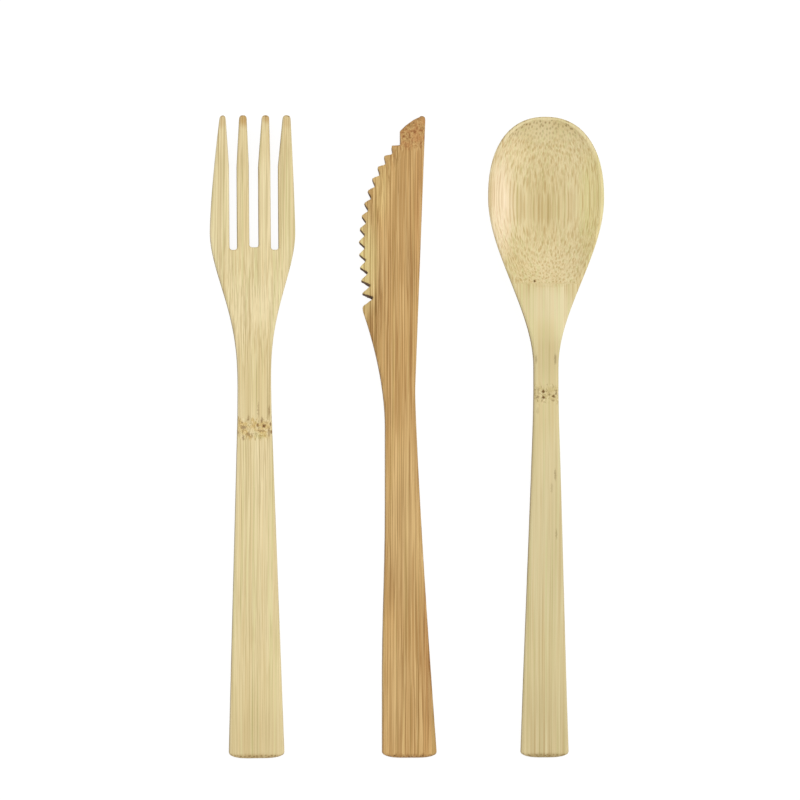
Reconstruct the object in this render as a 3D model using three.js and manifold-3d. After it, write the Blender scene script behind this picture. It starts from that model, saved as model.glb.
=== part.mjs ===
import * as THREE from 'three';
import { mergeVertices } from 'three/addons/utils/BufferGeometryUtils.js';
import Module from 'manifold-3d';

// A pack of bamboo table cutlery: a fork, a knife and a spoon, each carved from one strip of bamboo.
// Sizes are in millimetres. Each piece is drawn with its butt at y = 0, its working end at y = its
// length, its centre line at x = 0 and the table under it at z = 0.

// The pack: distances across it between the butts of its pieces, and how far each piece leans.
const forkToKnife = 45.55;
const knifeToSpoon = 44.2;
const forkLean = 0.5;
const spoonLean = -0.02;

// Softening left by sanding: along the edges of the strips, over the ends of the handles and round the
// corners of those ends as seen from above. A round takes at most its share of the side that it is on.
const edgeRound = 0.8;
const buttRound = 1.7;
const buttCornerReach = 5.5;
const largestRoundShare = 0.45;

// Fork, seen from above. Places on the head are measured from the tine tips.
const forkLength = 200;
const forkButtWidth = 17.3;
const forkNeckWidth = 10.3;
const forkNeckStart = 90;
const forkNeckEnd = 85;
const forkHeadWidth = 26.6;
const forkWidestFromTips = 36.5;
const forkTipSpread = 22.0;
const forkTipDrift = 1.0;
const forkShoulderEase = 1.38;
const forkTipEase = 1.4;

// Fork, seen from the side.
const forkButtThickness = 4.6;
const forkNeckThickness = 5.0;
const forkHeadThickness = 3.6;
const forkTipThickness = 2.3;
const forkNeckLift = 3.0;
const forkTipLift = 3.2;

// Fork tines and the slots between them.
const slotCount = 3;
const slotDepth = 42;
const slotPitch = 6.45;
const slotFan = 0.35;
const slotMouthDrift = 0.3;
const slotShift = 0.4;
const slotWidth = 2.4;
const slotMouthWidth = 4.3;
const middleSlotExtra = 0.5;
const middleSlotShortfall = 0.8;
const slotFlareLength = 16;
const slotCornerRound = 0.6;
const slotEdgeChamfer = 0.35;
const tineTipRound = 1.0;

// Knife, seen from above. Its x axis runs near the middle of the handle.
const knifeLength = 200.2;
const knifeButtLeft = 6.5;
const knifeButtRight = 10.6;
const knifeNeckLeft = 5.6;
const knifeNeckRight = 3.75;
const knifeSwellStart = 26;
const knifeSwellEnd = 76;
const knifeNeckFromTip = 86;
const knifeBackEase = 1.25;
const knifeSweepFromTip = 97;
const knifeSweepEase = 1.8;
const knifeHeelFromTip = 61;
const knifeHeelReach = 12.6;
const knifeBellyFromTip = 39.6;
const knifeBellyReach = 13.8;
const knifeBellyFullness = 1.7;
const knifeTipX = 7.0;
const knifeTipRound = 1.1;
const knifeTipFlat = 0.55;

// Knife thickness, and the bevels that thin its blade to the edge.
const knifeThickness = 4.2;
const bladeEdgeThickness = 1.5;
const bevelWidth = 6.0;
const bevelRunOut = 14;
const largestBevelShare = 0.55;

// Knife serration. The notches nearest the heel are deeper and narrower, and those nearest the tip are
// deeper, each over a stretch of five notches. They turn a little faster than the edge does.
const notchCount = 14;
const notchPitch = 4.05;
const notchDepth = 1.95;
const notchAngle = 88;
const heelNotchDepth = 4.1;
const heelNotchAngle = 54;
const tipNotchDepth = 3.25;
const notchFadeCount = 5;
const notchTurn = 1.22;
const notchRake = 20;
const heelLand = 3.2;

// Spoon, seen from above. Places on the bowl are measured from its tip.
const spoonLength = 199.7;
const spoonButtWidth = 15.1;
const spoonNeckWidth = 7.7;
const spoonNeckStart = 90;
const spoonNeckEnd = 78;
const bowlWidth = 36.5;
const bowlWidestFromTip = 25.4;
const bowlFullness = 2.3;

// Spoon, seen from the side.
const spoonButtThickness = 4.6;
const spoonNeckThickness = 5.2;
const spoonNeckLift = 4.4;
const bowlHeight = 9.6;
const bowlTipDrop = 0.8;
const bowlTipThickness = 2.4;
const keelFromTip = 26;
const keelFullness = 2.2;
const keelSteepness = 0.75;
const handleSquareness = 0.35;

// Hollow of the spoon.
const rimWidth = 1.0;
const hollowDepth = 6.8;
const hollowDeepestFromTip = 29.5;
const hollowEndFromTip = 53.5;
const hollowEndBow = 1.3;
const hollowFullness = 2.3;
const hollowSteepness = 0.92;
const hollowOverlap = 1.04;

// Steps of the faceted surfaces.
const handleStep = 9;
const headStep = 2;
const slotStep = 4;
const bladeTipSteps = 12;
const bowlTipSteps = 16;
const roundSteps = 4;
const undersideSteps = 16;
const hollowColumns = 18;
const hollowRows = 26;
const leastStep = 0.01;

// The bowl's last section stands this share of a quarter turn round its tip, just short of a point.
const lastBowlShare = 0.98;

// How far a cutter runs on past the surface that it cuts.
const cutterOvershoot = 3;

const { clamp, degToRad, lerp, smoothstep } = THREE.MathUtils;
const wasm = await Module();
wasm.setup();

/** Skins a row of outlines, each clockwise as seen from the butt, into one closed geometry. */
function loft(outlines) {
  const around = outlines[0].length;
  const points = outlines.flat();
  const index = [];
  for (let row = 0; row < outlines.length - 1; row++) {
    for (let i = 0; i < around; i++) {
      const a = row * around + i;
      const b = row * around + ((i + 1) % around);
      index.push(a, b, b + around, a, b + around, a + around);
    }
  }
  const lastRow = (outlines.length - 1) * around;
  const startHub = points.push(middleOf(outlines[0])) - 1;
  const endHub = points.push(middleOf(outlines[outlines.length - 1])) - 1;
  for (let i = 0; i < around; i++) {
    const next = (i + 1) % around;
    index.push(startHub, next, i, endHub, lastRow + i, lastRow + next);
  }
  const geometry = new THREE.BufferGeometry().setFromPoints(points);
  geometry.setIndex(index);
  return geometry;
}

function middleOf(outline) {
  const sum = outline.reduce((total, point) => total.add(point), new THREE.Vector3());
  return sum.divideScalar(outline.length);
}

/** Turns a closed geometry into a solid that can be joined and cut. */
function solidFrom(geometry) {
  const bare = geometry.clone();
  bare.deleteAttribute('normal');
  bare.deleteAttribute('uv');
  const merged = mergeVertices(bare);
  return new wasm.Manifold(new wasm.Mesh({
    numProp: 3,
    vertProperties: new Float32Array(merged.attributes.position.array),
    triVerts: new Uint32Array(merged.index.array),
  }));
}

/** Turns a solid back into a geometry with flat facets. */
function geometryFrom(solid) {
  const mesh = solid.getMesh();
  const geometry = new THREE.BufferGeometry();
  geometry.setAttribute('position', new THREE.BufferAttribute(mesh.vertProperties, 3));
  geometry.setIndex(new THREE.BufferAttribute(mesh.triVerts, 1));
  return geometry;
}

function cutAll(solid, cutters) {
  return cutters.reduce((rest, cutter) => rest.subtract(cutter), solid);
}

/** Places from one end of a stretch to the other, both ends included, no further apart than step. */
function placesBetween(from, to, step) {
  const count = Math.max(1, Math.ceil((to - from) / step));
  return Array.from({ length: count + 1 }, (_, i) => lerp(from, to, i / count));
}

/** Places over a rounded end, from its face to where the rounding stops, closer near the face. */
function placesOverRound(radius) {
  return Array.from({ length: roundSteps + 1 }, (_, i) => {
    return radius * (1 - Math.cos((i / roundSteps) * Math.PI / 2));
  });
}

/** How far a rounded end has drawn in at a distance from its face. */
function endInset(distance, radius) {
  const short = clamp(radius - distance, 0, radius);
  return radius - Math.sqrt(radius * radius - short * short);
}

/** How far the corners of a rounded butt have drawn in, as seen from above. */
function buttCornerInset(y) {
  return endInset(y, buttRound) * buttCornerReach / buttRound;
}

/** Puts places in order and drops the ones that all but repeat. */
function inOrder(places) {
  const sorted = [...places].sort((a, b) => a - b);
  return sorted.filter((place, i) => i === 0 || place - sorted[i - 1] > leastStep);
}

/** A quarter round in the plane of a section, from one angle to another. */
function quarterRound(x, y, z, radius, fromAngle, toAngle) {
  return Array.from({ length: roundSteps + 1 }, (_, i) => {
    const angle = lerp(fromAngle, toAngle, i / roundSteps);
    return new THREE.Vector3(x + radius * Math.cos(angle), y, z + radius * Math.sin(angle));
  });
}

/** Section of a strip with rounded edges, clockwise from its left side. */
function stripSection(y, left, right, bottom, top) {
  const radius = Math.min(edgeRound, largestRoundShare * Math.min(right - left, top - bottom));
  const quarter = Math.PI / 2;
  return [
    ...quarterRound(left + radius, y, top - radius, radius, 2 * quarter, quarter),
    ...quarterRound(right - radius, y, top - radius, radius, quarter, 0),
    ...quarterRound(right - radius, y, bottom + radius, radius, 0, -quarter),
    ...quarterRound(left + radius, y, bottom + radius, radius, -quarter, -2 * quarter),
  ];
}

// Fork

const forkNeckStartY = forkLength - forkNeckStart;
const forkNeckEndY = forkLength - forkNeckEnd;
const forkWidestY = forkLength - forkWidestFromTips;

/** Share of the way from the widest place of the head to the tips. */
function shareToTips(y) {
  return clamp((y - forkWidestY) / forkWidestFromTips, 0, 1);
}

function forkWidth(y) {
  if (y < forkNeckStartY) return lerp(forkButtWidth, forkNeckWidth, y / forkNeckStartY);
  if (y < forkWidestY) {
    const share = clamp((y - forkNeckEndY) / (forkWidestY - forkNeckEndY), 0, 1);
    return lerp(forkNeckWidth, forkHeadWidth, smoothstep(share ** forkShoulderEase, 0, 1));
  }
  return lerp(forkHeadWidth, forkTipSpread, shareToTips(y) ** forkTipEase);
}

/** How far the middle of the head has drifted to the right. */
function forkMiddle(y) {
  return forkTipDrift * shareToTips(y) ** forkTipEase;
}

function forkBottom(y) {
  const toNeck = forkNeckLift * smoothstep(y, buttRound, forkNeckStartY);
  const toHead = forkNeckLift * smoothstep(y, forkNeckEndY, forkWidestY);
  const toTips = forkTipLift * smoothstep(y, forkWidestY, forkLength + forkWidestFromTips / 2);
  return toNeck - toHead + toTips;
}

function forkThickness(y) {
  if (y < forkNeckStartY) return lerp(forkButtThickness, forkNeckThickness, y / forkNeckStartY);
  if (y < forkWidestY) {
    const share = smoothstep(y, forkNeckEndY, forkWidestY);
    return lerp(forkNeckThickness, forkHeadThickness, share);
  }
  return lerp(forkHeadThickness, forkTipThickness, shareToTips(y));
}

/** The fork before its slots are sawn. */
function forkBlank() {
  const places = inOrder([
    ...placesOverRound(buttRound),
    ...placesBetween(buttRound, forkNeckEndY, handleStep),
    ...placesBetween(forkNeckEndY, forkLength - tineTipRound, headStep),
    ...placesOverRound(tineTipRound).map((place) => forkLength - place),
  ]);
  return solidFrom(loft(places.map((y) => {
    const tipInset = endInset(forkLength - y, tineTipRound);
    const inset = endInset(y, buttRound) + tipInset;
    const half = forkWidth(y) / 2 - buttCornerInset(y) - tipInset;
    const middle = forkMiddle(y);
    const bottom = forkBottom(y) + inset;
    const top = forkBottom(y) + forkThickness(y) - inset;
    return stripSection(y, middle - half, middle + half, bottom, top);
  })));
}

/** Share of the way up the flared mouth of a slot. */
function slotFlare(y) {
  return clamp((y - forkLength + slotFlareLength) / slotFlareLength, 0, 1);
}

/** The middle of a slot. Slots are numbered from the middle one, which is 0. */
function slotMiddle(slot, y) {
  return slotShift + slotMouthDrift * slotFlare(y) + slot * (slotPitch + slotFan * slotFlare(y));
}

/** Is 1 for the middle slot and 0 for the others. */
function middleShare(slot) {
  return Math.max(0, 1 - Math.abs(slot));
}

function slotBase(slot) {
  return forkLength - slotDepth + middleSlotShortfall * middleShare(slot);
}

/** Half the width of a slot: rounded corners at its base, straight sides and a flared mouth. */
function slotHalfWidth(slot, y) {
  const base = endInset(y - slotBase(slot), slotCornerRound);
  const tip = endInset(forkLength - y, tineTipRound);
  const extra = middleSlotExtra * middleShare(slot);
  return (lerp(slotWidth, slotMouthWidth, slotFlare(y)) + extra) / 2 - base + tip;
}

function slotPlaces(slot) {
  return inOrder([
    ...placesOverRound(slotCornerRound).map((place) => slotBase(slot) + place),
    ...placesBetween(slotBase(slot) + slotCornerRound, forkLength - slotFlareLength, slotStep),
    ...placesBetween(forkLength - slotFlareLength, forkLength - tineTipRound, slotStep),
    ...placesOverRound(tineTipRound).map((place) => forkLength - place),
    forkLength + cutterOvershoot,
  ]);
}

/** The saw cut of one slot, right through the head. */
function slotCutter(slot) {
  const bottom = -cutterOvershoot;
  const top = forkHeadThickness + forkTipLift + forkNeckLift + cutterOvershoot;
  return solidFrom(loft(slotPlaces(slot).map((y) => {
    const centre = slotMiddle(slot, y);
    const half = slotHalfWidth(slot, y);
    return [
      new THREE.Vector3(centre - half, y, top),
      new THREE.Vector3(centre + half, y, top),
      new THREE.Vector3(centre + half, y, bottom),
      new THREE.Vector3(centre - half, y, bottom),
    ];
  })));
}

/** Cuts the chamfer along a slot on one face of the head: side is 1 on top and -1 underneath. */
function slotChamferCutter(slot, side) {
  const reach = slotEdgeChamfer + cutterOvershoot;
  return solidFrom(loft(slotPlaces(slot).map((y, i) => {
    const face = forkBottom(y) + (side > 0 ? forkThickness(y) : 0);
    const centre = slotMiddle(slot, y);
    const half = slotHalfWidth(slot, y);
    const outerY = i === 0 ? y - reach : y;
    const narrow = [-half, half].map((x) => {
      return new THREE.Vector3(centre + x, y, face - side * slotEdgeChamfer);
    });
    const wide = [-half - reach, half + reach].map((x) => {
      return new THREE.Vector3(centre + x, outerY, face + side * cutterOvershoot);
    });
    const [left, right] = side > 0 ? [wide, narrow] : [narrow, wide];
    return [left[0], left[1], right[1], right[0]];
  })));
}

function fork() {
  const slots = Array.from({ length: slotCount }, (_, i) => i - (slotCount - 1) / 2);
  const cutters = slots.flatMap((slot) => {
    return [slotCutter(slot), slotChamferCutter(slot, 1), slotChamferCutter(slot, -1)];
  });
  return geometryFrom(cutAll(forkBlank(), cutters));
}

// Knife

const knifeNeckY = knifeLength - knifeNeckFromTip;
const knifeSweepY = knifeLength - knifeSweepFromTip;
const knifeHeelY = knifeLength - knifeHeelFromTip;
const knifeBellyY = knifeLength - knifeBellyFromTip;

/** The back of the knife, on its right. */
function knifeRight(y) {
  if (y > knifeNeckY) return lerp(knifeNeckRight, knifeTipX, (y - knifeNeckY) / knifeNeckFromTip);
  return lerp(knifeNeckRight, knifeButtRight, (1 - y / knifeNeckY) ** knifeBackEase);
}

/** The left side of the knife: handle, sweep out to the heel, then the edge up to the tip. */
function knifeLeft(y) {
  if (y < knifeSweepY) {
    return -lerp(knifeButtLeft, knifeNeckLeft, smoothstep(y, knifeSwellStart, knifeSwellEnd));
  }
  if (y < knifeHeelY) {
    const share = (y - knifeSweepY) / (knifeHeelY - knifeSweepY);
    return -lerp(knifeNeckLeft, knifeHeelReach, share ** knifeSweepEase);
  }
  if (y < knifeBellyY) {
    const share = (knifeBellyY - y) / (knifeBellyY - knifeHeelY);
    return -lerp(knifeBellyReach, knifeHeelReach, share ** 2);
  }
  const share = clamp((y - knifeBellyY) / knifeBellyFromTip, 0, 1);
  const reach = knifeTipX + knifeBellyReach;
  return knifeTipX - reach * (1 - share ** knifeBellyFullness) ** (1 / knifeBellyFullness);
}

/** Section of the knife: rounded back, and on the left a rounded side that turns into two bevels. */
function knifeSection(y) {
  const tipInset = endInset(knifeLength - y, knifeTipRound);
  const inset = endInset(y, buttRound) + tipInset;
  const right = knifeRight(y) - buttCornerInset(y) - tipInset;
  const left = Math.min(knifeLeft(y) + buttCornerInset(y), knifeTipX - knifeTipRound - knifeTipFlat);
  const bottom = inset;
  const top = knifeThickness - inset;
  const middle = knifeThickness / 2;
  const strip = stripSection(y, left, right, bottom, top);
  const bladeShare = smoothstep(y, knifeHeelY - bevelRunOut, knifeHeelY);
  const width = Math.min(bevelWidth, largestBevelShare * (right - left));
  const edgeHalf = Math.min(bladeEdgeThickness / 2, (top - bottom) / 2);
  const bevel = (i) => new THREE.Vector3(
    left + (width * i) / roundSteps,
    y,
    lerp(edgeHalf, (top - bottom) / 2, i / roundSteps),
  );
  for (let i = 0; i <= roundSteps; i++) {
    const upper = bevel(i);
    const lower = new THREE.Vector3(upper.x, y, middle - upper.z);
    upper.z += middle;
    strip[i].lerp(upper, bladeShare);
    strip[strip.length - 1 - i].lerp(lower, bladeShare);
  }
  return strip;
}

function knifeBlank() {
  const tipFaces = placesBetween(0, 1, 1 / bladeTipSteps).map((share) => {
    return lerp(knifeBellyY, knifeLength, Math.sin(share * Math.PI / 2));
  });
  const places = inOrder([
    ...placesOverRound(buttRound),
    ...placesBetween(buttRound, knifeSweepY, handleStep),
    ...placesBetween(knifeSweepY, knifeBellyY, headStep),
    ...tipFaces,
    ...placesOverRound(knifeTipRound).map((place) => knifeLength - place),
  ]);
  return solidFrom(loft(places.map(knifeSection)));
}

/** The line of the edge before it is notched, from the heel to the tip. */
function bladeEdgeCurve() {
  const places = placesBetween(knifeHeelY, knifeLength, headStep);
  return new THREE.SplineCurve(places.map((y) => new THREE.Vector2(knifeLeft(y), y)));
}

/** A V file that points into the edge and is raked back towards the heel as it goes down. */
function notchCutter(edge, tangent, notchPlace) {
  const toHeel = Math.max(0, 1 - notchPlace / notchFadeCount) ** 2;
  const toTip = Math.max(0, 1 - (notchCount - 1 - notchPlace) / notchFadeCount) ** 2;
  const heelExtra = (heelNotchDepth - notchDepth) * toHeel;
  const tipExtra = (tipNotchDepth - notchDepth) * toTip;
  const inner = notchDepth + heelExtra + tipExtra;
  const reach = inner + cutterOvershoot;
  const spread = reach * Math.tan(degToRad(lerp(notchAngle, heelNotchAngle, toHeel) / 2));
  const wedge = new THREE.Shape([
    new THREE.Vector2(inner, 0),
    new THREE.Vector2(inner - reach, spread),
    new THREE.Vector2(inner - reach, -spread),
  ]);
  const depth = knifeThickness + 2 * cutterOvershoot;
  const cutter = new THREE.ExtrudeGeometry(wedge, { depth, bevelEnabled: false });
  cutter.translate(0, 0, -depth / 2);
  cutter.rotateZ(-notchTurn * Math.atan2(tangent.x, tangent.y));
  cutter.applyMatrix4(new THREE.Matrix4().makeShear(0, 0, 0, 0, 0, Math.tan(degToRad(notchRake))));
  cutter.translate(edge.x, edge.y, knifeThickness / 2);
  return solidFrom(cutter);
}

function knife() {
  const edge = bladeEdgeCurve();
  const cutters = Array.from({ length: notchCount }, (_, i) => {
    const share = (heelLand + i * notchPitch) / edge.getLength();
    return notchCutter(edge.getPointAt(share), edge.getTangentAt(share), i);
  });
  return geometryFrom(cutAll(knifeBlank(), cutters));
}

// Spoon

const spoonNeckStartY = spoonLength - spoonNeckStart;
const spoonNeckEndY = spoonLength - spoonNeckEnd;
const bowlWidestY = spoonLength - bowlWidestFromTip;
const keelY = spoonLength - keelFromTip;
const hollowEndY = spoonLength - hollowEndFromTip;
const hollowDeepestY = spoonLength - hollowDeepestFromTip;

/** Falls from 1 at the middle of a bowl to 0 at its rim, and goes on below 0 past the rim. */
function bowlShape(share, fullness, steepness) {
  const rest = 1 - Math.abs(share) ** fullness;
  return Math.sign(rest) * Math.abs(rest) ** steepness;
}

function spoonHalfWidth(y) {
  if (y < spoonNeckStartY) return lerp(spoonButtWidth, spoonNeckWidth, y / spoonNeckStartY) / 2;
  if (y < bowlWidestY) {
    return lerp(spoonNeckWidth, bowlWidth, smoothstep(y, spoonNeckEndY, bowlWidestY)) / 2;
  }
  const share = Math.min(1, (y - bowlWidestY) / bowlWidestFromTip);
  return (bowlWidth / 2) * bowlShape(share, bowlFullness, 1 / bowlFullness);
}

function spoonTop(y) {
  const neckHeight = spoonNeckLift + spoonNeckThickness;
  const rise = lerp(spoonButtThickness, neckHeight, smoothstep(y, buttRound, spoonNeckStartY));
  const level = (bowlHeight - neckHeight) * smoothstep(y, spoonNeckEndY, bowlWidestY);
  const drop = bowlTipDrop * clamp((y - keelY) / keelFromTip, 0, 1) ** 2;
  return rise + level - drop;
}

/** Height of the underside along the centre line: handle, neck and the keel of the bowl. */
function spoonBottom(y) {
  const rise = spoonNeckLift * smoothstep(y, buttRound, spoonNeckStartY);
  if (y < keelY) return rise - spoonNeckLift * smoothstep(y, spoonNeckEndY, keelY);
  const tipBottom = bowlHeight - bowlTipDrop - bowlTipThickness;
  const share = Math.min(1, (y - keelY) / keelFromTip);
  return tipBottom * (1 - bowlShape(share, keelFullness, keelSteepness));
}

/** Section of the spoon before it is hollowed: flat on top, squared or bowl-shaped underneath. */
function spoonSection(y) {
  const inset = endInset(y, buttRound);
  const half = spoonHalfWidth(y) - buttCornerInset(y);
  const top = spoonTop(y) - inset;
  const bottom = spoonBottom(y) + inset;
  const radius = Math.min(edgeRound, largestRoundShare * Math.min(half, top - bottom));
  const bowlShare = smoothstep(y, spoonNeckEndY, hollowDeepestY);
  const quarter = Math.PI / 2;
  const underside = [];
  for (let i = 1; i < undersideSteps; i++) {
    const angle = (i / undersideSteps) * Math.PI;
    const across = Math.cos(angle);
    const squareX = Math.sign(across) * Math.abs(across) ** handleSquareness;
    const squareZ = Math.sin(angle) ** handleSquareness;
    const bowlZ = bowlShape(across, keelFullness, keelSteepness);
    const x = half * lerp(squareX, across, bowlShare);
    const depth = (top - radius - bottom) * lerp(squareZ, bowlZ, bowlShare);
    underside.push(new THREE.Vector3(x, y, top - radius - depth));
  }
  return [
    ...quarterRound(-half + radius, y, top - radius, radius, 2 * quarter, quarter),
    ...quarterRound(half - radius, y, top - radius, radius, quarter, 0),
    ...underside,
  ];
}

function spoonBlank() {
  const tipAngles = placesBetween(0, lastBowlShare, 1 / bowlTipSteps);
  const places = inOrder([
    ...placesOverRound(buttRound),
    ...placesBetween(buttRound, spoonNeckEndY, handleStep),
    ...placesBetween(spoonNeckEndY, bowlWidestY, headStep),
    ...tipAngles.map((share) => lerp(bowlWidestY, spoonLength, Math.sin(share * Math.PI / 2))),
  ]);
  return solidFrom(loft(places.map(spoonSection)));
}

/** Half the width of the hollow, a rim's width inside the outline of the bowl. */
function hollowHalfWidth(y) {
  if (y < bowlWidestY) return spoonHalfWidth(y) - rimWidth;
  const share = Math.min(lastBowlShare, (y - bowlWidestY) / (bowlWidestFromTip - rimWidth));
  return (bowlWidth / 2 - rimWidth) * bowlShape(share, bowlFullness, 1 / bowlFullness);
}

/** Depth of the hollow under the rim, below zero outside it. */
function depthOfHollow(y, across) {
  const bowedY = y - hollowEndBow * across ** 2;
  const towardsTip = bowedY > hollowDeepestY;
  const reach = towardsTip ? hollowDeepestFromTip - rimWidth : hollowDeepestY - hollowEndY;
  const along = bowlShape((bowedY - hollowDeepestY) / reach, hollowFullness, hollowSteepness);
  const sideways = bowlShape(across, hollowFullness, hollowSteepness);
  return hollowDepth * Math.min(along, along * sideways, sideways);
}

/** The cutter that carves the hollow: bowl-shaped below and open above. */
function hollowCutter() {
  const start = hollowEndY - rimWidth;
  const end = spoonLength - rimWidth;
  const places = placesBetween(0, 1, 1 / hollowRows).map((share) => {
    return lerp(start, end, (1 - Math.cos(share * Math.PI)) / 2);
  });
  return solidFrom(loft(places.map((y) => {
    const half = hollowHalfWidth(y);
    const lid = spoonTop(y) + cutterOvershoot;
    const floor = Array.from({ length: hollowColumns + 1 }, (_, i) => {
      const across = hollowOverlap * Math.cos((i / hollowColumns) * Math.PI);
      return new THREE.Vector3(half * across, y, spoonTop(y) - depthOfHollow(y, across));
    });
    return [
      new THREE.Vector3(-hollowOverlap * half, y, lid),
      new THREE.Vector3(hollowOverlap * half, y, lid),
      ...floor,
    ];
  })));
}

function spoon() {
  return geometryFrom(spoonBlank().subtract(hollowCutter()));
}

function paleBamboo() {
  return new THREE.MeshStandardMaterial({ color: 0xddcb9a, roughness: 0.62, metalness: 0 });
}

function caramelBamboo() {
  return new THREE.MeshStandardMaterial({ color: 0xc49e66, roughness: 0.58, metalness: 0 });
}

function piece(name, geometry, material, x, lean) {
  const mesh = new THREE.Mesh(geometry, material);
  mesh.name = name;
  mesh.position.x = x;
  mesh.rotation.z = degToRad(lean);
  return mesh;
}

/** The three pieces side by side, with the origin under the middle of the pack. */
function cutleryPack() {
  const pack = new THREE.Group();
  pack.add(piece('fork', fork(), paleBamboo(), -forkToKnife, forkLean));
  pack.add(piece('knife', knife(), caramelBamboo(), 0, 0));
  pack.add(piece('spoon', spoon(), paleBamboo(), knifeToSpoon, spoonLean));
  const box = new THREE.Box3().setFromObject(pack, true);
  const middle = box.getCenter(new THREE.Vector3());
  pack.position.set(-middle.x, -middle.y, -box.min.z);
  return pack;
}

export default cutleryPack();
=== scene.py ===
import math
from dataclasses import dataclass

import bpy
from mathutils import Matrix, Vector


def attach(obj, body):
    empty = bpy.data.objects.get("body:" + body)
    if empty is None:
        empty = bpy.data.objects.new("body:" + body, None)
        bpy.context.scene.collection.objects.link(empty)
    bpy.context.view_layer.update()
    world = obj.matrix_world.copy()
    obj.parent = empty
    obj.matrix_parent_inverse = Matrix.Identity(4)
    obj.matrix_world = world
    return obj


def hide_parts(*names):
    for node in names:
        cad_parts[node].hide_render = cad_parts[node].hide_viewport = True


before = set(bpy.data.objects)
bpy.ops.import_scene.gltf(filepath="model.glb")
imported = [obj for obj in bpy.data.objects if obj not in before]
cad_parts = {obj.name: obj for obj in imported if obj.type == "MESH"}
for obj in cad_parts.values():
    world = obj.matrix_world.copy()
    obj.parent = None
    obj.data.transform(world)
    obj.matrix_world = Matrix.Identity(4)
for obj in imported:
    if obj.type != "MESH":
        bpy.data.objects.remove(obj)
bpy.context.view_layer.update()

# Looks of the bamboo cutlery pack. Lengths are in metres, and +Y runs from the handles to the tips.
# Inside the materials lengths are in millimetres, or in pixels where they are columns and rows.
MM = 0.001

# The photograph: its size, the length that a pixel stands for, and the pixel over the pack's middle.
IMAGE_SIZE = 800
METRES_PER_PIXEL = 0.3115 * MM
MIDDLE_COLUMN = 407.0
MIDDLE_ROW = 436.0

# Camera: a long lens that looks straight down, leaning a little from the left and from the butts.
CAMERA_LENS = 220
SENSOR_WIDTH = 36
CAMERA_LEAN_LEFT = 4.5
CAMERA_LEAN_BUTTS = 2.0
CAMERA_AIM_HEIGHT = 4 * MM
CAMERA_REACH = 20

# Fineness of the carved surfaces, and how far sanding has softened them.
VOXEL = 0.33 * MM
SANDING_FACTOR = 0.5
SANDING_STEPS = 2

# Floor and light.
FLOOR_SIZE = 4.0
FLOOR_MATT = 0.16
FLOOR_GLOW = 0.9
FLOOR_PLAIN = 0.8
SKY_STRENGTH = 0.78


def across(column):
    """The place across the pack that a column of the photograph shows."""
    return (column - MIDDLE_COLUMN) * METRES_PER_PIXEL


def along(row):
    """The place along the pack that a row of the photograph shows."""
    return (MIDDLE_ROW - row) * METRES_PER_PIXEL


def srgb(red, green, blue):
    """A colour as a screen shows it, turned into a shader's linear one by the sRGB curve."""
    def linear(level):
        share = level / 255
        return share / 12.92 if share <= 0.04045 else ((share + 0.055) / 1.055) ** 2.4
    return (linear(red), linear(green), linear(blue), 1.0)


# Shapes


def carved_copy(node):
    """A fine copy of a solid, with the facets evened out and the edges softened as by sanding."""
    rough = bpy.data.objects.new(f"{node}_rough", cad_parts[node].data.copy())
    bpy.context.scene.collection.objects.link(rough)
    remesh = rough.modifiers.new("even_faces", "REMESH")
    remesh.mode = "VOXEL"
    remesh.voxel_size = VOXEL
    sanding = rough.modifiers.new("sanding", "SMOOTH")
    sanding.factor = SANDING_FACTOR
    sanding.iterations = SANDING_STEPS
    evaluated = rough.evaluated_get(bpy.context.evaluated_depsgraph_get())
    mesh = bpy.data.meshes.new_from_object(evaluated)
    mesh.materials.clear()
    bpy.data.objects.remove(rough)
    carved = bpy.data.objects.new(f"{node}_carved", mesh)
    bpy.context.scene.collection.objects.link(carved)
    for face in mesh.polygons:
        face.use_smooth = True
    return carved


def dress(node, material):
    """Puts the carved copy of a solid in its place, with its material."""
    carved = carved_copy(node)
    carved.data.materials.append(material)
    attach(carved, "root")
    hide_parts(node)


# What materials are made of


@dataclass
class Grain:
    """A noise in the wood, and the levels of it between which its effect rises from none to full."""
    per_mm: tuple              # changes per millimetre in X, Y and Z
    rises: tuple = (0.0, 1.0)
    start: tuple = (0.0, 0.0, 0.0)
    detail: float = 1.0
    roughness: float = 0.5
    distortion: float = 0.0
    depth: float = 1.0         # how strong the full effect is


@dataclass
class Mark:
    """An ellipse in columns and rows of the photograph, and how strongly it shows."""
    column: float
    row: float
    half_width: float
    half_height: float
    strength: float
    colour: tuple = None


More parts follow.
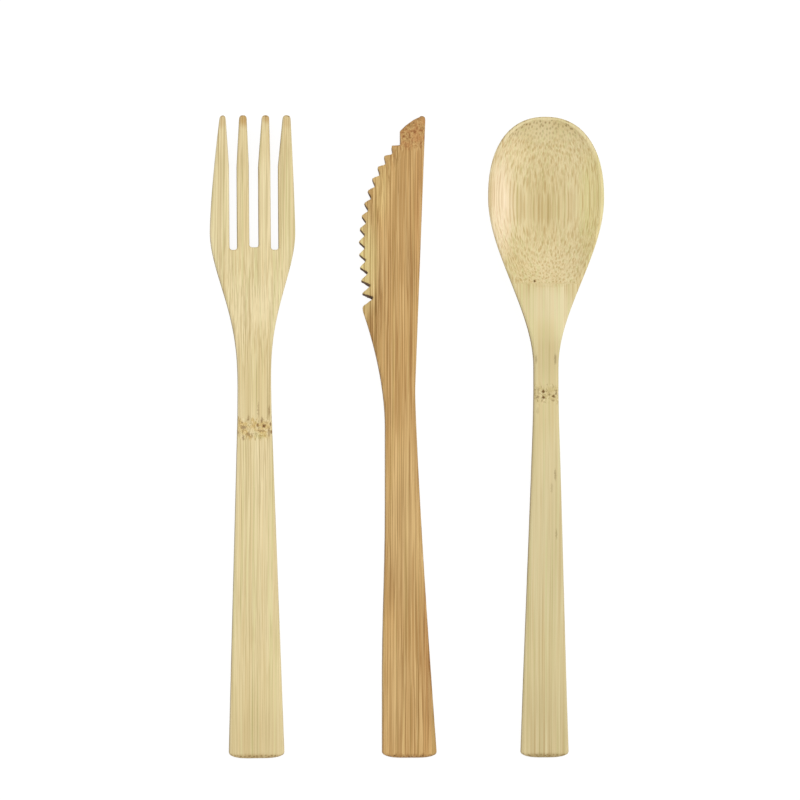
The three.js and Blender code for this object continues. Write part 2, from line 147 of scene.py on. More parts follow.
class Graph:
    """Short names for the nodes that a material is made of. An input is a value or an output."""

    def __init__(self, name):
        self.material = bpy.data.materials.new(name)
        self.material.use_nodes = True
        self.tree = self.material.node_tree
        self.tree.nodes.clear()

    def add(self, kind, inputs=None, **settings):
        node = self.tree.nodes.new(kind)
        for name, value in settings.items():
            setattr(node, name, value)
        for key, value in (inputs or {}).items():
            if isinstance(value, bpy.types.NodeSocket):
                self.tree.links.new(value, node.inputs[key])
            else:
                node.inputs[key].default_value = value
        return node

    def math(self, operation, first, second=0.0, third=0.0):
        inputs = {0: first, 1: second, 2: third}
        return self.add("ShaderNodeMath", inputs, operation=operation).outputs[0]

    def product(self, first, *others):
        for other in others:
            first = self.math("MULTIPLY", first, other)
        return first

    def swing(self, level, reach):
        """Turns a level from 0 to 1 into one that swings as far to either side of 0."""
        return self.math("MULTIPLY_ADD", level, reach, -0.5 * reach)

    def span(self, value, low, high, to_low=0.0, to_high=1.0):
        """Eases from one value to another while the input goes from low to high."""
        inputs = {"Value": value, "From Min": low, "From Max": high, "To Min": to_low, "To Max": to_high}
        node = self.add("ShaderNodeMapRange", inputs, interpolation_type="SMOOTHSTEP")
        return node.outputs["Result"]

    def fall(self, value, low, high, strength=1.0):
        """Eases from a strength down to nothing while the input goes from low to high."""
        return self.span(value, low, high, strength, 0.0)

    def join(self, x, y, z):
        return self.add("ShaderNodeCombineXYZ", {"X": x, "Y": y, "Z": z}).outputs[0]

    def parts(self, vector):
        node = self.add("ShaderNodeSeparateXYZ", {0: vector})
        return node.outputs["X"], node.outputs["Y"], node.outputs["Z"]

    def moved(self, vector, by):
        return self.add("ShaderNodeVectorMath", {0: vector, 1: by}, operation="ADD").outputs[0]

    def scaled(self, vector, by, then_move=(0.0, 0.0, 0.0)):
        inputs = {0: vector, 1: by, 2: then_move}
        return self.add("ShaderNodeVectorMath", inputs, operation="MULTIPLY_ADD").outputs[0]

    def noise(self, vector, grain, finer=1.0, shorter=1.0):
        """The level of a grain, which a look may make finer in X and Z and shorter in Y."""
        in_x, in_y, in_z = grain.per_mm
        vector = self.scaled(vector, (in_x * finer, in_y * shorter, in_z * finer), grain.start)
        inputs = {"Vector": vector, "Scale": 1.0, "Detail": grain.detail, "Roughness": grain.roughness,
                  "Distortion": grain.distortion}
        return self.add("ShaderNodeTexNoise", inputs, noise_dimensions="3D").outputs["Fac"]

    def cells(self, vector):
        """Distance to the nearest of points scattered in X and Y, and a share of each point's own."""
        inputs = {"Vector": vector, "Scale": 1.0, "Randomness": BUNDLE_SCATTER}
        node = self.add("ShaderNodeTexVoronoi", inputs, voronoi_dimensions="2D", feature="F1")
        own = self.add("ShaderNodeSeparateColor", {0: node.outputs["Color"]}).outputs[0]
        return node.outputs["Distance"], own

    def mix(self, share, first, second, blend="MIX"):
        """Mixes two colours. The colour sockets of Blender's mix node are its inputs 6 and 7."""
        inputs = {0: share, 6: first, 7: second}
        settings = {"data_type": "RGBA", "blend_type": blend, "clamp_factor": True}
        return self.add("ShaderNodeMix", inputs, **settings).outputs[2]

    def stain(self, share, colour, shade):
        """Darkens a colour by a shade, which is white where it does nothing."""
        return self.mix(share, colour, shade, "MULTIPLY")

    def ellipse(self, pixel, mark, core):
        """Falls from a mark's strength inside the core of its ellipse to nothing at its border."""
        by = (1 / mark.half_width, 1 / mark.half_height, 0.0)
        move = (-mark.column / mark.half_width, -mark.row / mark.half_height, 0.0)
        offset = self.scaled(pixel, by, move)
        away = self.add("ShaderNodeVectorMath", {0: offset}, operation="LENGTH").outputs["Value"]
        return self.fall(away, core, 1.0, mark.strength)


# Bamboo

# Slow changes of tone and of hue, and what the hue does to a colour at its two ends.
TONE = Grain(per_mm=(0.12, 0.03, 0.12), start=(7.0, 3.0, 0.0), rises=(0.35, 0.65))
HUE = Grain(per_mm=(1.6, 0.012, 1.6), start=(3.0, 0.0, 29.0), rises=(0.5, 0.7))
GREENER_LEVELS = (0.3, 0.5)
GREENER = (0.95, 1.0, 0.93, 1.0)
REDDER = (1.0, 0.975, 0.94, 1.0)

# Lines along the fibres, from broad to fine.
BANDS = Grain(per_mm=(1.2, 0.01, 1.2), start=(11.0, 0.0, 5.0), rises=(0.48, 0.58), depth=0.25)
LINES = Grain(per_mm=(3.3, 0.014, 3.3), rises=(0.5, 0.56), detail=0.5, depth=0.8)
FINE_LINES = Grain(per_mm=(4.8, 0.03, 4.8), rises=(0.5, 0.58), depth=1.1)
PALE_LINES = Grain(per_mm=(3.6, 0.016, 3.6), start=(31.0, 0.0, 17.0), rises=(0.54, 0.6))

# Bundles of fibres: how unevenly they lie, where a bundle fades, in shares of the pitch, and how strong
# the weakest is. Each has a share of its own, and the lower that is in this range, the weaker it is.
BUNDLE_SCATTER = 0.85
BUNDLE_EDGE = (0.12, 0.4)
WEAK_BUNDLES = (0.0, 0.5)
WEAKEST_BUNDLE = 0.5

# The fibres drift all along the strip and swirl in the joint, by millimetres from side to side, and by a
# share of that in depth.
DRIFT = Grain(per_mm=(0.05, 0.012, 0.05))
DRIFT_REACH = 1.2
SWIRL = Grain(per_mm=(0.6, 0.5, 1.0), detail=2.0)
SWIRL_REACH = 4.0
SHIFT_IN_DEPTH = 0.6

# The rows where the heads pass into the necks.
NECK_ROWS = (283, 284)

# The culm joint: its ragged border, how softly it begins and ends in rows, and what it is filled with.
JOINT_BORDER = Grain(per_mm=(1.3, 0.0, 0.5))
JOINT_BEGINS = 3.0
JOINT_ENDS = 4.0
PATCHES = Grain(per_mm=(0.4, 0.5, 1.0), rises=(0.35, 0.65), depth=0.55)
SPECKS = Grain(per_mm=(1.5, 1.1, 1.5), rises=(0.55, 0.66), detail=2.0, roughness=0.55, distortion=1.2,
               depth=0.6)
PALE_SPECK_LEVELS = (0.3, 0.42)
PALE_SPECK_DEPTH = 0.8

# Marks: the share of an ellipse that shows in full, how far a fleck's border strays across the strip, in
# pixels, and what share of that it strays the other way along the strip.
TINT_CORE = 0.2
CONTRAST_CORE = 0.6
FLECK_CORE = 0.35
RAGGED = Grain(per_mm=(2.4, 2.0, 2.4))
RAGGED_REACH = 2.4
RAGGED_ALONG = -0.8

# Faces by where they look, as parts of their normals, and how much of a colour they take. Steep sides take a
# darker colour, partly their own and partly painted shade, and sides facing left take painted shade. Notch
# flanks that face the butts take painted shade between two rows, which are above all the strips without
# notches.
STEEP_LEVELS = (0.05, 0.45)
SIDE_AND_SHADE_DEPTH = 0.45
LEFT_SIDE_SHADE_LEVELS = (-0.9, -0.6)
LEFT_SIDE_SHADE_DEPTH = 0.65
END_LEVELS = (0.2, 0.6)
END_DEPTH = 0.35
NOTCH_SHADE_LEVELS_Y = (-0.45, -0.15)
NOTCH_SHADE_LEVELS_Z = (0.4, 0.75)
NO_NOTCH_SHADE = (0, 1)

# Ends: how far from the pack's middle they begin, and the bundles that are cut across there.
END_FROM_MIDDLE = (88.0, 91.0)
END_BUNDLES_PER_MM = (0.95, 1.5, 0.0)
END_BUNDLE_EDGE = (0.16, 0.36)
END_BUNDLE_DEPTH = 0.75

# Surface: what the bundles and the fine lines do to its height and roughness.
BUNDLE_SINKS = -0.5
FINE_LINES_RISE = 0.6
BUMP_STRENGTH = 0.3
BUMP_HEIGHT = 0.05 * MM
BUNDLE_ROUGHENS = 0.3
ROUGHNESS_LEVELS = (0.3, 0.9)
SMOOTHEST = 0.52
ROUGHEST = 0.7
SHEEN = 0.3


@dataclass
class Look:
    """What sets one strip of bamboo apart."""
    name: str
    light: tuple
    middle: tuple
    pale: tuple
    shade: tuple               # what a dark line leaves of a colour
    joint_colour: tuple
    fleck_colour: tuple
    # A darker colour for steep sides and ends, partly their own and partly painted shade.
    side_and_shade_colour: tuple
    # Painted shade on the sides that face left.
    left_side_shade_colour: tuple
    # The dark of end grain, for the bundles cut across at the ends and as painted shade on notch flanks.
    end_grain_and_shade_colour: tuple
    bundle_pitch: float        # millimetres
    bundle_flatness: float
    bundle_depth: float
    line_depth: float
    layers: float              # how much a step in depth counts against one sideways, in the head
    handle_layers: float       # the same in the neck and handle
    joint_rows: tuple          # the first and the last
    joint_border: float        # how far it strays, in pixels
    seed: float
    tints: tuple
    flecks: tuple
    contrast: tuple            # marks whose strength is added to 1
    # Rows between which notch flanks facing the butts take painted shade.
    notch_shade_rows: tuple = NO_NOTCH_SHADE
    line_fineness: float = 1.0  # how many times finer and shorter than usual the lines are
    line_shortness: float = 1.0


class Strip:
    """The places in a strip that its colours go by: pixels, the joint, the fibres and the contrast."""

    def __init__(self, graph, look):
        self.graph = graph
        self.look = look
        coordinates = graph.add("ShaderNodeTexCoord").outputs["Object"]
        place = graph.scaled(coordinates, (1 / MM, 1 / MM, 1 / MM))
        x, self.y, self.z = graph.parts(place)
        self.seeded = graph.moved(place, (look.seed, 0.0, 0.0))
        column = graph.math("MULTIPLY_ADD", x, MM / METRES_PER_PIXEL, MIDDLE_COLUMN)
        self.row = graph.math("MULTIPLY_ADD", self.y, -MM / METRES_PER_PIXEL, MIDDLE_ROW)
        self.pixel = graph.join(column, self.row, 0.0)
        self.joint = self.joint_band()
        self.lay_fibres()
        self.contrast = self.zones()

    def joint_band(self):
        """Is 1 in the culm joint, a band across the strip with a ragged border."""
        g = self.graph
        border = g.noise(self.seeded, JOINT_BORDER)
        start_row = g.math("SUBTRACT", self.row, 0.5 * self.look.joint_border)
        uneven_row = g.math("MULTIPLY_ADD", border, self.look.joint_border, start_row)
        first, last = self.look.joint_rows
        return g.product(
            g.span(uneven_row, first - JOINT_BEGINS, first + JOINT_BEGINS),
            g.fall(uneven_row, last - JOINT_ENDS, last + JOINT_ENDS),
        )

    def lay_fibres(self):
        """Sets the places that follow the fibres through their drift and their swirl in the joint."""
        g = self.graph
        drift = g.swing(g.noise(self.seeded, DRIFT), DRIFT_REACH)
        swirl = g.swing(g.noise(self.seeded, SWIRL), SWIRL_REACH)
        shift = g.math("MULTIPLY_ADD", swirl, self.joint, drift)
        self.fibre_x = g.math("ADD", g.parts(self.seeded)[0], shift)
        layers = g.span(self.row, *NECK_ROWS, self.look.layers, self.look.handle_layers)
        depth = g.math("MULTIPLY", self.z, layers)
        self.fibre_z = g.math("MULTIPLY_ADD", shift, SHIFT_IN_DEPTH, depth)
        self.fibre = g.join(self.fibre_x, self.y, self.fibre_z)

    def zones(self):
        """How strongly the grain shows, which the look raises or calms in places."""
        contrast = 1.0
        for mark in self.look.contrast:
            zone = self.graph.ellipse(self.pixel, mark, CONTRAST_CORE)
            contrast = self.graph.math("ADD", contrast, zone)
        return contrast

    def bundles(self):
        """Bundles of fibres: dark cores in a paler ground, flattened and each of its own strength."""
        g = self.graph
        flattened = g.math("MULTIPLY", self.fibre_z, self.look.bundle_flatness)
        per_mm = 1 / self.look.bundle_pitch
        section = g.scaled(g.join(self.fibre_x, flattened, 0.0), (per_mm, per_mm, 0.0))
        core, own = g.cells(section)
        return g.product(g.fall(core, *BUNDLE_EDGE), g.span(own, *WEAK_BUNDLES, WEAKEST_BUNDLE, 1.0))


def ground(strip):
    """The colour under the grain, with the tints of the look, which hold some painted highlight and shade,
    and slow changes of tone and hue.
    """
    g, look = strip.graph, strip.look
    colour = g.mix(g.span(g.noise(strip.seeded, TONE), *TONE.rises), look.light, look.middle)
    for mark in look.tints:
        colour = g.mix(g.ellipse(strip.pixel, mark, TINT_CORE), colour, mark.colour)
    hue = g.noise(strip.fibre, HUE)
    colour = g.stain(g.fall(hue, *GREENER_LEVELS), colour, GREENER)
    return g.stain(g.span(hue, *HUE.rises), colour, REDDER)


def grained(strip, colour, bundles, fine_lines):
    """Draws the lines along the fibres and the bundles over a colour."""
    g, look = strip.graph, strip.look
    strength = g.product(strip.contrast, look.line_depth)
    resized = (look.line_fineness, look.line_shortness)
    bands = g.noise(strip.fibre, BANDS)
    lines = g.noise(strip.fibre, LINES, *resized)
    pale_lines = g.noise(strip.fibre, PALE_LINES, *resized)
    for level, grain in ((bands, BANDS), (lines, LINES), (fine_lines, FINE_LINES)):
        share = g.product(g.span(level, *grain.rises), strength, grain.depth)
        colour = g.stain(share, colour, look.shade)
    colour = g.mix(g.product(g.span(pale_lines, *PALE_LINES.rises), strength), colour, look.pale)
    return g.stain(g.product(bundles, strip.contrast, look.bundle_depth), colour, look.shade)


def jointed(strip, colour):
    """Puts patches and specks in the joint, then single flecks with ragged borders."""
    g, look = strip.graph, strip.look
    patches = g.span(g.noise(strip.seeded, PATCHES), *PATCHES.rises)
    specks = g.noise(strip.seeded, SPECKS)
    pale_specks = g.fall(specks, *PALE_SPECK_LEVELS)
    dark_specks = g.span(specks, *SPECKS.rises)
    colour = g.mix(g.product(strip.joint, patches, PATCHES.depth), colour, look.joint_colour)
    colour = g.mix(g.product(strip.joint, pale_specks, PALE_SPECK_DEPTH), colour, look.light)
    colour = g.mix(g.product(strip.joint, dark_specks, SPECKS.depth), colour, look.fleck_colour)
    ragged = g.swing(g.noise(strip.seeded, RAGGED), RAGGED_REACH)
    ragged_pixel = g.moved(strip.pixel, g.join(ragged, g.math("MULTIPLY", ragged, RAGGED_ALONG), 0.0))
    flecks = 0.0
    for mark in look.flecks:
        flecks = g.math("MAXIMUM", flecks, g.ellipse(ragged_pixel, mark, FLECK_CORE))
    return g.mix(flecks, colour, look.fleck_colour)


def worked_and_shaded(strip, colour):
    """Darkens the sides, partly in their own colour and partly as painted shade, paints shade on the sides
    facing left and on notch flanks facing the butts, and shows the cut bundles on the ends.
    """
    g, look = strip.graph, strip.look
    normal_x, normal_y, normal_z = g.parts(g.add("ShaderNodeNewGeometry").outputs["Normal"])
    steep = g.fall(g.math("ABSOLUTE", normal_z), *STEEP_LEVELS)
    # A darker colour on steep sides, partly their own and partly painted shade.
    colour = g.mix(g.product(steep, SIDE_AND_SHADE_DEPTH), colour, look.side_and_shade_colour)
    # Painted shade on the sides that face left.
    painted_left_shade = g.product(steep, g.fall(normal_x, *LEFT_SIDE_SHADE_LEVELS, LEFT_SIDE_SHADE_DEPTH))
    colour = g.mix(painted_left_shade, colour, look.left_side_shade_colour)

    # The ends take the side colour too: their darker end grain, and painted shade where they round off.
    at_tip_or_butt = g.span(g.math("ABSOLUTE", strip.y), *END_FROM_MIDDLE)
    end = g.product(g.span(g.math("ABSOLUTE", normal_y), *END_LEVELS), at_tip_or_butt)
    colour = g.mix(g.product(end, END_DEPTH), colour, look.side_and_shade_colour)
    cut_core, _ = g.cells(g.scaled(g.join(strip.fibre_x, strip.z, 0.0), END_BUNDLES_PER_MM))
    end_bundles = g.product(g.fall(cut_core, *END_BUNDLE_EDGE), end)
    colour = g.mix(g.product(end_bundles, END_BUNDLE_DEPTH), colour, look.end_grain_and_shade_colour)

    # Painted shade in the dark end colour on notch flanks facing the butts, between two rows.
    first_shaded_row, last_shaded_row = look.notch_shade_rows
    painted_notch_shade = g.product(
        g.fall(normal_y, *NOTCH_SHADE_LEVELS_Y),
        g.fall(normal_z, *NOTCH_SHADE_LEVELS_Z),
        g.math("GREATER_THAN", strip.row, float(first_shaded_row)),
        g.math("LESS_THAN", strip.row, float(last_shaded_row)),
    )
    return g.mix(painted_notch_shade, colour, look.end_grain_and_shade_colour)


def finish_surface(graph, colour, bundles, fine_lines):
    """Gives a material its colour, its relief and its gloss."""
    g = graph
    height = g.math("MULTIPLY_ADD", bundles, BUNDLE_SINKS, g.math("MULTIPLY", fine_lines, FINE_LINES_RISE))
    bump = g.add("ShaderNodeBump", {"Strength": BUMP_STRENGTH, "Distance": BUMP_HEIGHT, "Height": height})
    uneven = g.math("MULTIPLY_ADD", bundles, BUNDLE_ROUGHENS, fine_lines)
    roughness = g.span(uneven, *ROUGHNESS_LEVELS, SMOOTHEST, ROUGHEST)
    inputs = {"Base Color": colour, "Roughness": roughness, "Normal": bump.outputs[0],
              "Specular IOR Level": SHEEN}
    shader = g.add("ShaderNodeBsdfPrincipled", inputs)
    g.add("ShaderNodeOutputMaterial", {"Surface": shader.outputs[0]})


def bamboo(look):
    """Bamboo as a solid: bundles of fibres run along Y, and carving cuts them into lines and dots."""
    graph = Graph(look.name)
    strip = Strip(graph, look)
    bundles = strip.bundles()
    fine_lines = graph.noise(strip.fibre, FINE_LINES)
    colour = grained(strip, ground(strip), bundles, fine_lines)
    colour = worked_and_shaded(strip, jointed(strip, colour))
    finish_surface(graph, colour, bundles, fine_lines)
    return graph.material


# The looks of the three strips

TIP_BROWN = srgb(192, 152, 86)

PALE_FORK = Look(
    name="pale_bamboo_fork",
    light=srgb(236, 219, 174),
    middle=srgb(229, 211, 162),
    pale=srgb(243, 229, 184),
    shade=(0.6, 0.54, 0.4, 1.0),
    joint_colour=srgb(204, 168, 88),
    fleck_colour=srgb(120, 80, 34),
    # Painted shade: partly in the side colour, and in full on sides facing left.
    side_and_shade_colour=srgb(176, 146, 94),
    left_side_shade_colour=srgb(104, 84, 46),
    end_grain_and_shade_colour=srgb(132, 98, 46),
    bundle_pitch=0.85,
    bundle_flatness=0.5,
    bundle_depth=0.4,
    line_depth=0.34,
    layers=0.3,
    handle_layers=0.3,
    joint_rows=(420, 438),
    joint_border=16.0,
    seed=11.0,
    tints=(
        # The upper head, then the four tips of the tines.
        Mark(column=254, row=138, half_width=60, half_height=44, strength=0.4, colour=srgb(216, 193, 140)),
        Mark(column=220.5, row=122, half_width=8, half_height=10, strength=0.35, colour=TIP_BROWN),
        Mark(column=243, row=119, half_width=8, half_height=12, strength=0.85, colour=TIP_BROWN),
        Mark(column=266, row=117.5, half_width=7, half_height=9, strength=0.75, colour=TIP_BROWN),
        Mark(column=287, row=122, half_width=8, half_height=9, strength=0.3, colour=TIP_BROWN),
        # The joint, the neck, the handle, its lower part, and painted shade along its rounded end.
        Mark(column=260, row=436, half_width=9, half_height=5, strength=0.7, colour=srgb(206, 196, 132)),
        Mark(column=256, row=370, half_width=26, half_height=90, strength=0.45, colour=srgb(218, 196, 142)),
        Mark(column=253, row=640, half_width=50, half_height=220, strength=0.6, colour=srgb(218, 199, 148)),
        Mark(column=256, row=745, half_width=44, half_height=60, strength=0.5, colour=srgb(208, 187, 137)),
        Mark(column=256, row=757, half_width=44, half_height=6, strength=0.5, colour=srgb(180, 150, 92)),
    ),
    flecks=(
        # In the joint and close to it.
        Mark(column=263.3, row=426.6, half_width=2.4, half_height=2.6, strength=1.0),
        Mark(column=256.9, row=426.0, half_width=1.8, half_height=2.6, strength=0.75),
        Mark(column=243.3, row=428.2, half_width=3.6, half_height=2.4, strength=0.55),
        Mark(column=247.5, row=435.0, half_width=3.0, half_height=2.4, strength=0.5),
        Mark(column=242.7, row=438.7, half_width=1.4, half_height=3.6, strength=0.6),
        Mark(column=251.5, row=436.0, half_width=1.3, half_height=3.4, strength=0.5),
        Mark(column=268.2, row=432.4, half_width=1.6, half_height=6.5, strength=0.5),
        Mark(column=269.6, row=425.2, half_width=1.4, half_height=2.6, strength=0.8),
        Mark(column=270.4, row=433.0, half_width=1.2, half_height=2.4, strength=0.85),
        Mark(column=261.2, row=420.5, half_width=1.4, half_height=4.4, strength=0.55),
        Mark(column=257.5, row=410.5, half_width=1.1, half_height=11.0, strength=0.4),
        Mark(column=247.8, row=418.7, half_width=1.2, half_height=4.5, strength=0.4),
        Mark(column=268.3, row=411.5, half_width=1.3, half_height=7.5, strength=0.45),
        Mark(column=260.0, row=431.2, half_width=6.0, half_height=0.9, strength=0.45),
    ),
    contrast=(
        Mark(column=256, row=640, half_width=90, half_height=170, strength=-0.3),
    ),
)

PALE_SPOON = Look(
    name="pale_bamboo_spoon",
    light=srgb(228, 213, 168),
    middle=srgb(219, 203, 153),
    pale=srgb(232, 218, 174),
    shade=(0.66, 0.53, 0.34, 1.0),
    joint_colour=srgb(192, 172, 112),
    fleck_colour=srgb(112, 82, 36),
    # Painted shade: partly in the side colour, and in full on sides facing left.
    side_and_shade_colour=srgb(170, 144, 92),
    left_side_shade_colour=srgb(128, 106, 62),
    end_grain_and_shade_colour=srgb(128, 100, 50),
    bundle_pitch=1.08,
    bundle_flatness=2.0,
    bundle_depth=0.52,
    line_depth=0.26,
    layers=1.0,
    handle_layers=0.12,
    joint_rows=(386, 402),
    joint_border=16.0,
    seed=47.0,
    tints=(
        # The bowl: its middle, its left wall in a paler tone with a painted highlight, upper left, its right
        # wall in a greener tone lifted by painted light, lower end and shoulder.
        Mark(column=545, row=200, half_width=32, half_height=70, strength=0.7, colour=srgb(205, 186, 132)),
        Mark(column=500, row=205, half_width=19, half_height=75, strength=0.85, colour=srgb(255, 236, 206)),
        Mark(column=516, row=150, half_width=20, half_height=26, strength=0.3, colour=srgb(240, 218, 174)),
        Mark(column=594, row=200, half_width=22, half_height=85, strength=0.7, colour=srgb(232, 220, 162)),
        Mark(column=545, row=270, half_width=30, half_height=22, strength=0.4, colour=srgb(232, 214, 170)),
        Mark(column=545, row=305, half_width=30, half_height=30, strength=0.4, colour=srgb(228, 214, 176)),
        # The neck, the handle, its lower part, and painted shade along its rounded end.
        Mark(column=545, row=355, half_width=24, half_height=44, strength=0.7, colour=srgb(204, 187, 138)),
        Mark(column=545, row=560, half_width=60, half_height=230, strength=0.75, colour=srgb(207, 192, 146)),
        Mark(column=545, row=735, half_width=50, half_height=95, strength=0.6, colour=srgb(198, 182, 136)),
        Mark(column=545, row=757, half_width=40, half_height=6, strength=0.6, colour=srgb(154, 130, 80)),
    ),
    flecks=(
        # In the joint.
        Mark(column=542.2, row=391.8, half_width=2.3, half_height=2.3, strength=1.0),
        Mark(column=542.4, row=397.6, half_width=2.3, half_height=2.2, strength=1.0),
        Mark(column=552.5, row=396.4, half_width=2.0, half_height=2.0, strength=0.9),
        Mark(column=548.3, row=394.7, half_width=1.5, half_height=1.6, strength=0.6),
        Mark(column=551.9, row=400.7, half_width=2.0, half_height=1.5, strength=0.5),
        Mark(column=536.8, row=396.8, half_width=1.4, half_height=1.8, strength=0.6),
        Mark(column=537.0, row=391.0, half_width=1.5, half_height=5.0, strength=0.4),
        Mark(column=555.4, row=393.4, half_width=1.3, half_height=2.6, strength=0.6),
        # At the lower end of the hollow, at its upper end, then along the neck and the handle.
        Mark(column=534.0, row=281.0, half_width=1.9, half_height=1.7, strength=1.0),
        Mark(column=551.5, row=146.5, half_width=1.1, half_height=2.4, strength=0.35),
        Mark(column=554.2, row=359.3, half_width=1.6, half_height=7.0, strength=0.45),
        Mark(column=535.1, row=359.3, half_width=1.4, half_height=6.0, strength=0.35),
        Mark(column=554.2, row=474.9, half_width=1.3, half_height=8.0, strength=0.4),
        Mark(column=550.7, row=488.0, half_width=1.4, half_height=7.0, strength=0.22),
        Mark(column=555.8, row=534.0, half_width=1.3, half_height=7.0, strength=0.38),
        Mark(column=536.5, row=411.0, half_width=1.8, half_height=5.0, strength=0.18),
    ),
    contrast=(
        Mark(column=545, row=530, half_width=90, half_height=245, strength=-0.5),
        Mark(column=545, row=315, half_width=40, half_height=34, strength=-0.5),
        Mark(column=545, row=122, half_width=75, half_height=22, strength=-0.65),
    ),
)

CARAMEL_KNIFE = Look(
    name="caramel_bamboo_knife",
    light=srgb(208, 169, 108),
    middle=srgb(193, 153, 94),
    pale=srgb(226, 192, 132),
    shade=(0.56, 0.45, 0.3, 1.0),
    joint_colour=srgb(186, 128, 72),
    fleck_colour=srgb(140, 84, 36),
    # Painted shade: partly in the side colour, in full on sides facing left, and on notch flanks in the end
    # colour.
    side_and_shade_colour=srgb(176, 132, 76),
    left_side_shade_colour=srgb(110, 78, 36),
    end_grain_and_shade_colour=srgb(84, 54, 10),
    bundle_pitch=0.75,
    bundle_flatness=0.4,
    bundle_depth=0.5,
    line_depth=0.5,
    layers=0.4,
    handle_layers=0.4,
    joint_rows=(112, 146),
    joint_border=30.0,
    seed=83.0,
    tints=(
        # The bevel and its upper part, the blade, and the back.
        Mark(column=366, row=262, half_width=18, half_height=70, strength=1.0, colour=srgb(250, 232, 168)),
        Mark(column=380, row=190, half_width=14, half_height=48, strength=0.65, colour=srgb(230, 203, 138)),
        Mark(column=400, row=220, half_width=20, half_height=100, strength=0.3, colour=srgb(182, 142, 84)),
        Mark(column=421, row=200, half_width=8, half_height=110, strength=0.45, colour=srgb(196, 142, 84)),
        # The handle: its right side, its middle and its lower left.
        Mark(column=428, row=640, half_width=12, half_height=130, strength=0.4, colour=srgb(196, 146, 88)),
        Mark(column=404, row=520, half_width=26, half_height=130, strength=0.55, colour=srgb(216, 186, 130)),
        Mark(column=395, row=690, half_width=16, half_height=90, strength=0.5, colour=srgb(214, 182, 126)),
        # The tip, and painted shade along the rounded end of the handle.
        Mark(column=410, row=119, half_width=22, half_height=10, strength=0.4, colour=srgb(204, 154, 98)),
        Mark(column=409, row=757, half_width=44, half_height=5, strength=0.5, colour=srgb(156, 110, 58)),
    ),
    flecks=(
        # In the joint at the tip and just below it.
        Mark(column=403.7, row=135.6, half_width=1.6, half_height=1.8, strength=0.9),
        Mark(column=403.2, row=131.8, half_width=2.4, half_height=1.2, strength=0.6),
        Mark(column=414.4, row=130.9, half_width=2.2, half_height=2.8, strength=0.8),
        Mark(column=420.6, row=129.6, half_width=3.0, half_height=1.5, strength=0.7),
        Mark(column=417.2, row=127.4, half_width=1.4, half_height=2.4, strength=0.6),
        Mark(column=406.5, row=128.2, half_width=2.4, half_height=1.2, strength=0.6),
        Mark(column=409.5, row=134.5, half_width=1.2, half_height=3.2, strength=0.5),
        Mark(column=417.6, row=137.5, half_width=1.1, half_height=4.0, strength=0.5),
        Mark(column=411.5, row=130.5, half_width=1.8, half_height=1.6, strength=0.7),
        Mark(column=399.5, row=141.5, half_width=1.3, half_height=4.5, strength=0.4),
        Mark(column=406.0, row=144.5, half_width=1.2, half_height=6.0, strength=0.45),
        Mark(column=412.3, row=141.0, half_width=1.3, half_height=5.0, strength=0.5),
        Mark(column=421.0, row=143.5, half_width=1.3, half_height=6.5, strength=0.45),
        Mark(column=424.6, row=137.0, half_width=1.4, half_height=4.5, strength=0.5),
    ),
    contrast=(
        Mark(column=371, row=250, half_width=15, half_height=85, strength=0.35),
        Mark(column=425, row=640, half_width=14, half_height=150, strength=0.2),
    ),
    # Rows of the notches whose flanks facing the butts take painted shade.
    notch_shade_rows=(140, 303),
    line_fineness=1.25,
    line_shortness=2.2,
)


# Stage


def floor():
    """A pale floor that shows white to the camera and still takes the soft shadow of the pack."""
    bpy.ops.mesh.primitive_plane_add(size=FLOOR_SIZE)
    plane = bpy.context.object
    plane.name = "floor"
    g = Graph("floor_white")
    rays = g.add("ShaderNodeLightPath").outputs
    mirrored = g.math("MAXIMUM", rays["Is Glossy Ray"], rays["Is Transmission Ray"])
    seen = g.math("MAXIMUM", rays["Is Camera Ray"], mirrored)
    matt = g.add("ShaderNodeBsdfDiffuse", {"Color": (FLOOR_MATT, FLOOR_MATT, FLOOR_MATT, 1.0)})
    glow = g.add("ShaderNodeEmission", {"Color": (1.0, 1.0, 1.0, 1.0), "Strength": FLOOR_GLOW})
    shown = g.add("ShaderNodeAddShader", {0: matt.outputs[0], 1: glow.outputs[0]})
    plain = g.add("ShaderNodeBsdfDiffuse", {"Color": (FLOOR_PLAIN, FLOOR_PLAIN, FLOOR_PLAIN, 1.0)})
    pick = g.add("ShaderNodeMixShader", {0: seen, 1: plain.outputs[0], 2: shown.outputs[0]})
    g.add("ShaderNodeOutputMaterial", {"Surface": pick.outputs[0]})
    plane.data.materials.append(g.material)


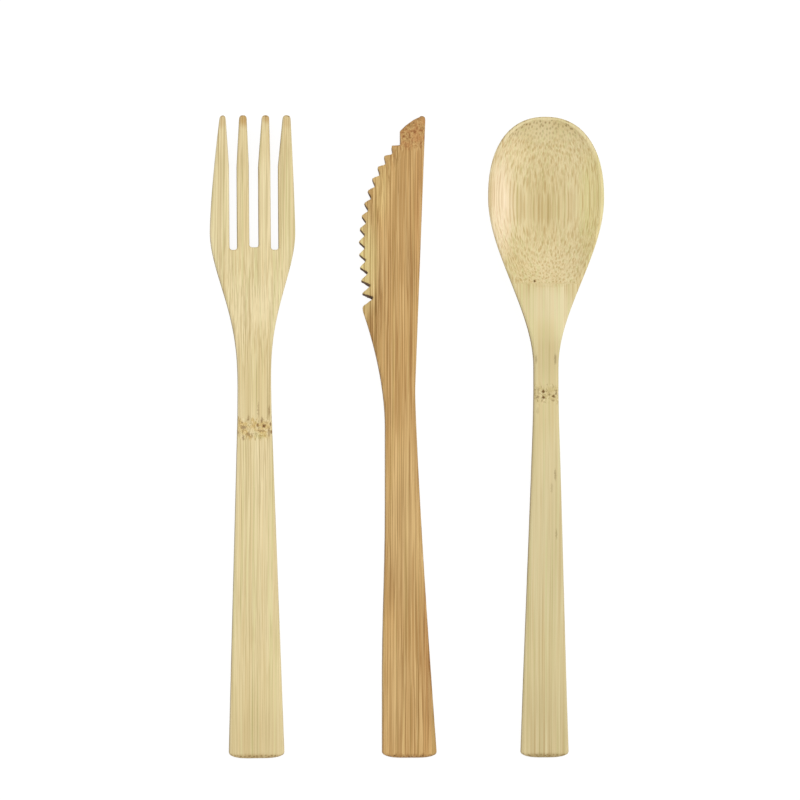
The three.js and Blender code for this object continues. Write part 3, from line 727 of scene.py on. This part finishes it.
def lamp(name, place, size, energy):
    """A square lamp that shines at the middle of the pack."""
    data = bpy.data.lights.new(name, "AREA")
    data.shape = "SQUARE"
    data.size = size
    data.energy = energy
    light = bpy.data.objects.new(name, data)
    light.location = place
    light.rotation_euler = (-Vector(place)).to_track_quat("-Z", "Y").to_euler()
    bpy.context.scene.collection.objects.link(light)


def soft_studio_light():
    world = bpy.data.worlds.new("studio")
    world.use_nodes = True
    background = world.node_tree.nodes["Background"]
    background.inputs["Color"].default_value = (1.0, 1.0, 1.0, 1.0)
    background.inputs["Strength"].default_value = SKY_STRENGTH
    bpy.context.scene.world = world
    lamp("key_right", place=(0.9, 0.25, 0.9), size=0.5, energy=3.5)
    lamp("fill_left", place=(-0.5, 0.1, 1.3), size=0.6, energy=1.8)
    lamp("overhead", place=(0.0, 0.1, 1.4), size=1.0, energy=1.0)


def camera():
    """The photograph's view: its middle pixel in the middle, and its scale on the plane aimed at."""
    data = bpy.data.cameras.new("camera")
    data.lens = CAMERA_LENS
    data.sensor_width = SENSOR_WIDTH
    data.clip_end = CAMERA_REACH
    view = bpy.data.objects.new("camera", data)
    bpy.context.scene.collection.objects.link(view)
    target = Vector((across(IMAGE_SIZE / 2), along(IMAGE_SIZE / 2), CAMERA_AIM_HEIGHT))
    distance = IMAGE_SIZE * METRES_PER_PIXEL * CAMERA_LENS / SENSOR_WIDTH
    towards = Vector((
        -math.tan(math.radians(CAMERA_LEAN_LEFT)),
        -math.tan(math.radians(CAMERA_LEAN_BUTTS)),
        1.0,
    )).normalized()
    right = Vector((0.0, 1.0, 0.0)).cross(towards).normalized()
    up = towards.cross(right)
    turn = Matrix((right, up, towards)).transposed().to_4x4()
    view.matrix_world = Matrix.Translation(target + distance * towards) @ turn
    bpy.context.scene.camera = view


camera()
floor()
soft_studio_light()
bpy.context.scene.view_settings.view_transform = "Standard"
dress("fork", bamboo(PALE_FORK))
dress("knife", bamboo(CARAMEL_KNIFE))
dress("spoon", bamboo(PALE_SPOON))
